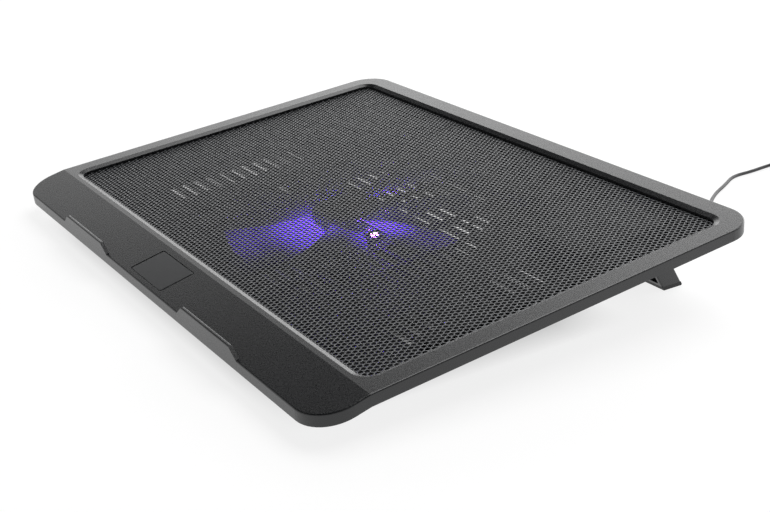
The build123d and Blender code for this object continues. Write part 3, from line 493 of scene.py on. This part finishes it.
def make_lead():
    """One lead from the grommet to the plug, on a smooth line through the air and along the floor."""
    points = [Vector(point) * MM for point in lead_route] + coil_points()
    last_y = (plug_lead_low.y + plug_lead_high.y) / 2
    last_z = (plug_lead_low.z + plug_lead_high.z) / 2
    points.append(Vector((coil_centre.x + tail_run, last_y, last_z)))
    points.append(Vector((plug_lead_high.x, last_y, last_z)))
    curve = bpy.data.curves.new("lead_cable", "CURVE")
    curve.dimensions = "3D"
    curve.resolution_u = 6
    curve.bevel_depth = lead_diameter / 2
    curve.bevel_resolution = 4
    curve.use_fill_caps = True
    spline = curve.splines.new("NURBS")
    spline.points.add(len(points) - 1)
    for point, place in zip(spline.points, points):
        point.co = (*place, 1.0)
    spline.order_u = 3
    spline.use_endpoint_u = True
    piece = new_piece("lead_cable", curve, lead_pvc, "pad")
    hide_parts("usb_lead", "lead_coil", "plug_lead")


make_lead()


# ---------------------------------------------------------------- perforated deck
sheet_thickness = 0.6 * MM
hole_pitch = 2.82 * MM
hole_width = 2.0 * MM
edge_roll = 0.2 * MM  # how far the hole's upper edge is rolled over
weld_grid = 0.01 * MM  # corners nearer than this are one


def perforated_mesh(name, first, last, rows, centre):
    """Sheet of hexagonal cells, each with a hexagonal hole whose upper edge is rolled over."""
    top, bottom = sheet_thickness / 2, -sheet_thickness / 2
    row_step = hole_pitch * sqrt(3) / 2
    cell_radius = hole_pitch / sqrt(3)
    hole_radius = hole_width / sqrt(3)
    land_radius = hole_radius + edge_roll
    angles = [radians(30 + 60 * corner) for corner in range(6)]
    centres = []
    for row in range(-rows, rows + 1):
        shift = 0.5 * (row % 2)
        for column in range(first, last):
            centres.append(((column + shift) * hole_pitch, row * row_step))
    outer_index, places, faces = {}, [], []

    def corner_vertex(x, y, side):
        key = (round(x / weld_grid), round(y / weld_grid), side)
        if key not in outer_index:
            outer_index[key] = len(places)
            places.append((x, y, top if side else bottom))
        return outer_index[key]

    side_faces = {}
    for x, y in centres:
        rims = []
        for side in (0, 1):
            outer = [
                corner_vertex(x + cell_radius * cos(a), y + cell_radius * sin(a), side)
                for a in angles
            ]
            start = len(places)
            height = top - edge_roll if side else bottom
            places.extend(
                (x + hole_radius * cos(a), y + hole_radius * sin(a), height) for a in angles
            )
            inner = [start + corner for corner in range(6)]
            rims.append((outer, inner))
        start = len(places)
        places.extend((x + land_radius * cos(a), y + land_radius * sin(a), top) for a in angles)
        land = [start + corner for corner in range(6)]
        (low_outer, low_inner), (high_outer, high_inner) = rims
        for corner in range(6):
            after = (corner + 1) % 6
            faces.append((high_outer[corner], high_outer[after], land[after], land[corner]))
            faces.append((land[corner], land[after], high_inner[after], high_inner[corner]))
            faces.append((low_outer[after], low_outer[corner], low_inner[corner], low_inner[after]))
            faces.append((high_inner[corner], high_inner[after], low_inner[after], low_inner[corner]))
            edge = frozenset((high_outer[corner], high_outer[after]))
            if edge in side_faces:
                side_faces[edge] = None  # two cells share this edge, so it is inside the sheet
            else:
                side_faces[edge] = (
                    high_outer[after], high_outer[corner], low_outer[corner], low_outer[after]
                )
    faces.extend(face for face in side_faces.values() if face is not None)
    mesh = bpy.data.meshes.new(name)
    turned = [
        centre + deck_right * x + deck_rear * y + deck_up * z for x, y, z in places
    ]
    mesh.from_pydata(turned, [], faces)
    mesh.validate()
    mesh.polygons.foreach_set("use_smooth", [True] * len(mesh.polygons))
    return mesh


def make_panel():
    """The perforated steel under the frame's opening, in three strips so that no mesh is too heavy."""
    low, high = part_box("mesh_panel")
    centre = (low + high) / 2
    width = high.x - low.x
    depth = (high.y - low.y - sheet_thickness * abs(deck_up.y)) / abs(deck_rear.y)
    columns = int((width / 2 - hole_pitch) / hole_pitch)
    rows = int((depth / 2 - hole_pitch / sqrt(3)) / (hole_pitch * sqrt(3) / 2))
    third = round((2 * columns + 1) / 3)
    edges = (-columns, -columns + third, columns + 1 - third, columns + 1)
    for part, first, last in zip(("left", "middle", "right"), edges, edges[1:]):
        name = f"perforated_deck_{part}"
        mesh = perforated_mesh(name, first, last, rows, centre)
        piece = new_piece(name, mesh, steel_mesh, "pad")
        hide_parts("mesh_panel")


make_panel()


# ---------------------------------------------------------------- floor and light
floor_half = 6.0  # metres
floor_drop = 0.2 * MM  # keeps the floor just under the soles
floor_glow = 0.83
# strength of the floor's glow inside the painted shadow under the pad
painted_shadow_glow = 0.03
# The pad's painted shadow on the floor: axis, its middle, then where it is full and where it ends, in mm
painted_shadow_reaches = (("X", 0.0, 95.0, 150.0), ("Y", -30.0, 60.0, 98.0))

backdrop_way = Vector((-0.45, 0.89, 0.0))  # from the pad towards the brightest part of the studio
# Sines of the elevations where the backdrop starts to fade and where it ends
bright_height = 0.42
dim_height = 0.55
ceiling_share = 0.04  # of the backdrop's strength
# Strength of the studio's walls, from the dim side to the bright one, and between which cosines
# of the angle from backdrop_way it changes
dim_side, bright_side = 0.7, 3.9
dim_cosine, bright_cosine = 0.4, 0.92


def make_floor():
    """A pale floor, wide enough to fill every view, with a painted shadow under the pad."""
    mesh = bpy.data.meshes.new("floor")
    corners = [(-1, -1), (1, -1), (1, 1), (-1, 1)]
    mesh.from_pydata([(x * floor_half, y * floor_half, 0) for x, y in corners], [], [(0, 1, 2, 3)])
    floor = bpy.data.objects.new("floor", mesh)
    floor.location.z = -floor_drop
    bpy.context.scene.collection.objects.link(floor)
    material, tree, place = blank_material("painted_paper_floor")
    cloud = grain(tree, place, size_mm=400.0)
    # the floor glows like a lit sweep, dimmed under the pad by a painted shadow
    spot = add(tree, "ShaderNodeSeparateXYZ", {"Vector": place})
    shade = []
    for axis, middle, full, clear in painted_shadow_reaches:
        offset = add(
            tree, "ShaderNodeMath", {0: spot.outputs[axis], 1: middle * MM}, operation="SUBTRACT"
        )
        reach = add(tree, "ShaderNodeMath", {0: offset.outputs["Value"]}, operation="ABSOLUTE")
        shade.append(ranged(tree, reach.outputs["Value"], 1.0, 0.0, full * MM, clear * MM))
    lit = ranged(tree, add_up(tree, shade, "MULTIPLY"), floor_glow, painted_shadow_glow, 0.0, 1.0)
    shader = add(
        tree, "ShaderNodeBsdfPrincipled",
        {
            "Base Color": shaded(tree, cloud, "#7a7a7a", "#7e7e7e"),
            "Roughness": 0.9,
            "Emission Color": linear("#ffffff"),
            "Emission Strength": lit,
        },
    )
    finish_material(tree, shader.outputs["BSDF"])
    mesh.materials.append(material)


def area_light(name, place, size, power):
    """A white soft box that looks at the pad."""
    data = bpy.data.lights.new(name, "AREA")
    data.shape = "RECTANGLE"
    data.size, data.size_y = size
    data.energy = power
    light = bpy.data.objects.new(name, data)
    light.location = place
    light.rotation_mode = "QUATERNION"
    light.rotation_quaternion = (-Vector(place)).to_track_quat("-Z", "Y")
    bpy.context.scene.collection.objects.link(light)


def make_light():
    """A studio with a bright low backdrop behind the pad, a dim front and one broad soft box above."""
    world = bpy.data.worlds.new("studio")
    world.use_nodes = True
    tree = world.node_tree
    tree.nodes.clear()
    way = add(tree, "ShaderNodeTexCoord").outputs["Generated"]
    height = add(tree, "ShaderNodeSeparateXYZ", {"Vector": way}).outputs["Z"]
    rise = add(tree, "ShaderNodeValToRGB", {"Fac": height})
    ramp = rise.color_ramp
    ramp.elements[0].position = bright_height
    ramp.elements[0].color = (1.0, 1.0, 1.0, 1.0)
    ramp.elements[1].position = dim_height
    ramp.elements[1].color = (ceiling_share, ceiling_share, ceiling_share, 1.0)
    facing = add(tree, "ShaderNodeVectorMath", {0: way, 1: backdrop_way}, operation="DOT_PRODUCT")
    share = ranged(
        tree, facing.outputs["Value"], dim_side, bright_side, dim_cosine, bright_cosine
    )
    strength = add(
        tree, "ShaderNodeMath", {0: rise.outputs["Color"], 1: share}, operation="MULTIPLY"
    )
    background = add(tree, "ShaderNodeBackground", {"Strength": strength.outputs["Value"]})
    add(tree, "ShaderNodeOutputWorld", {"Surface": background.outputs["Background"]})
    bpy.context.scene.world = world
    area_light("top_soft_box", place=(-0.1, 0.7, 1.4), size=(1.5, 1.1), power=19.0)


make_floor()
make_light()
bpy.context.scene.view_settings.view_transform = "Standard"
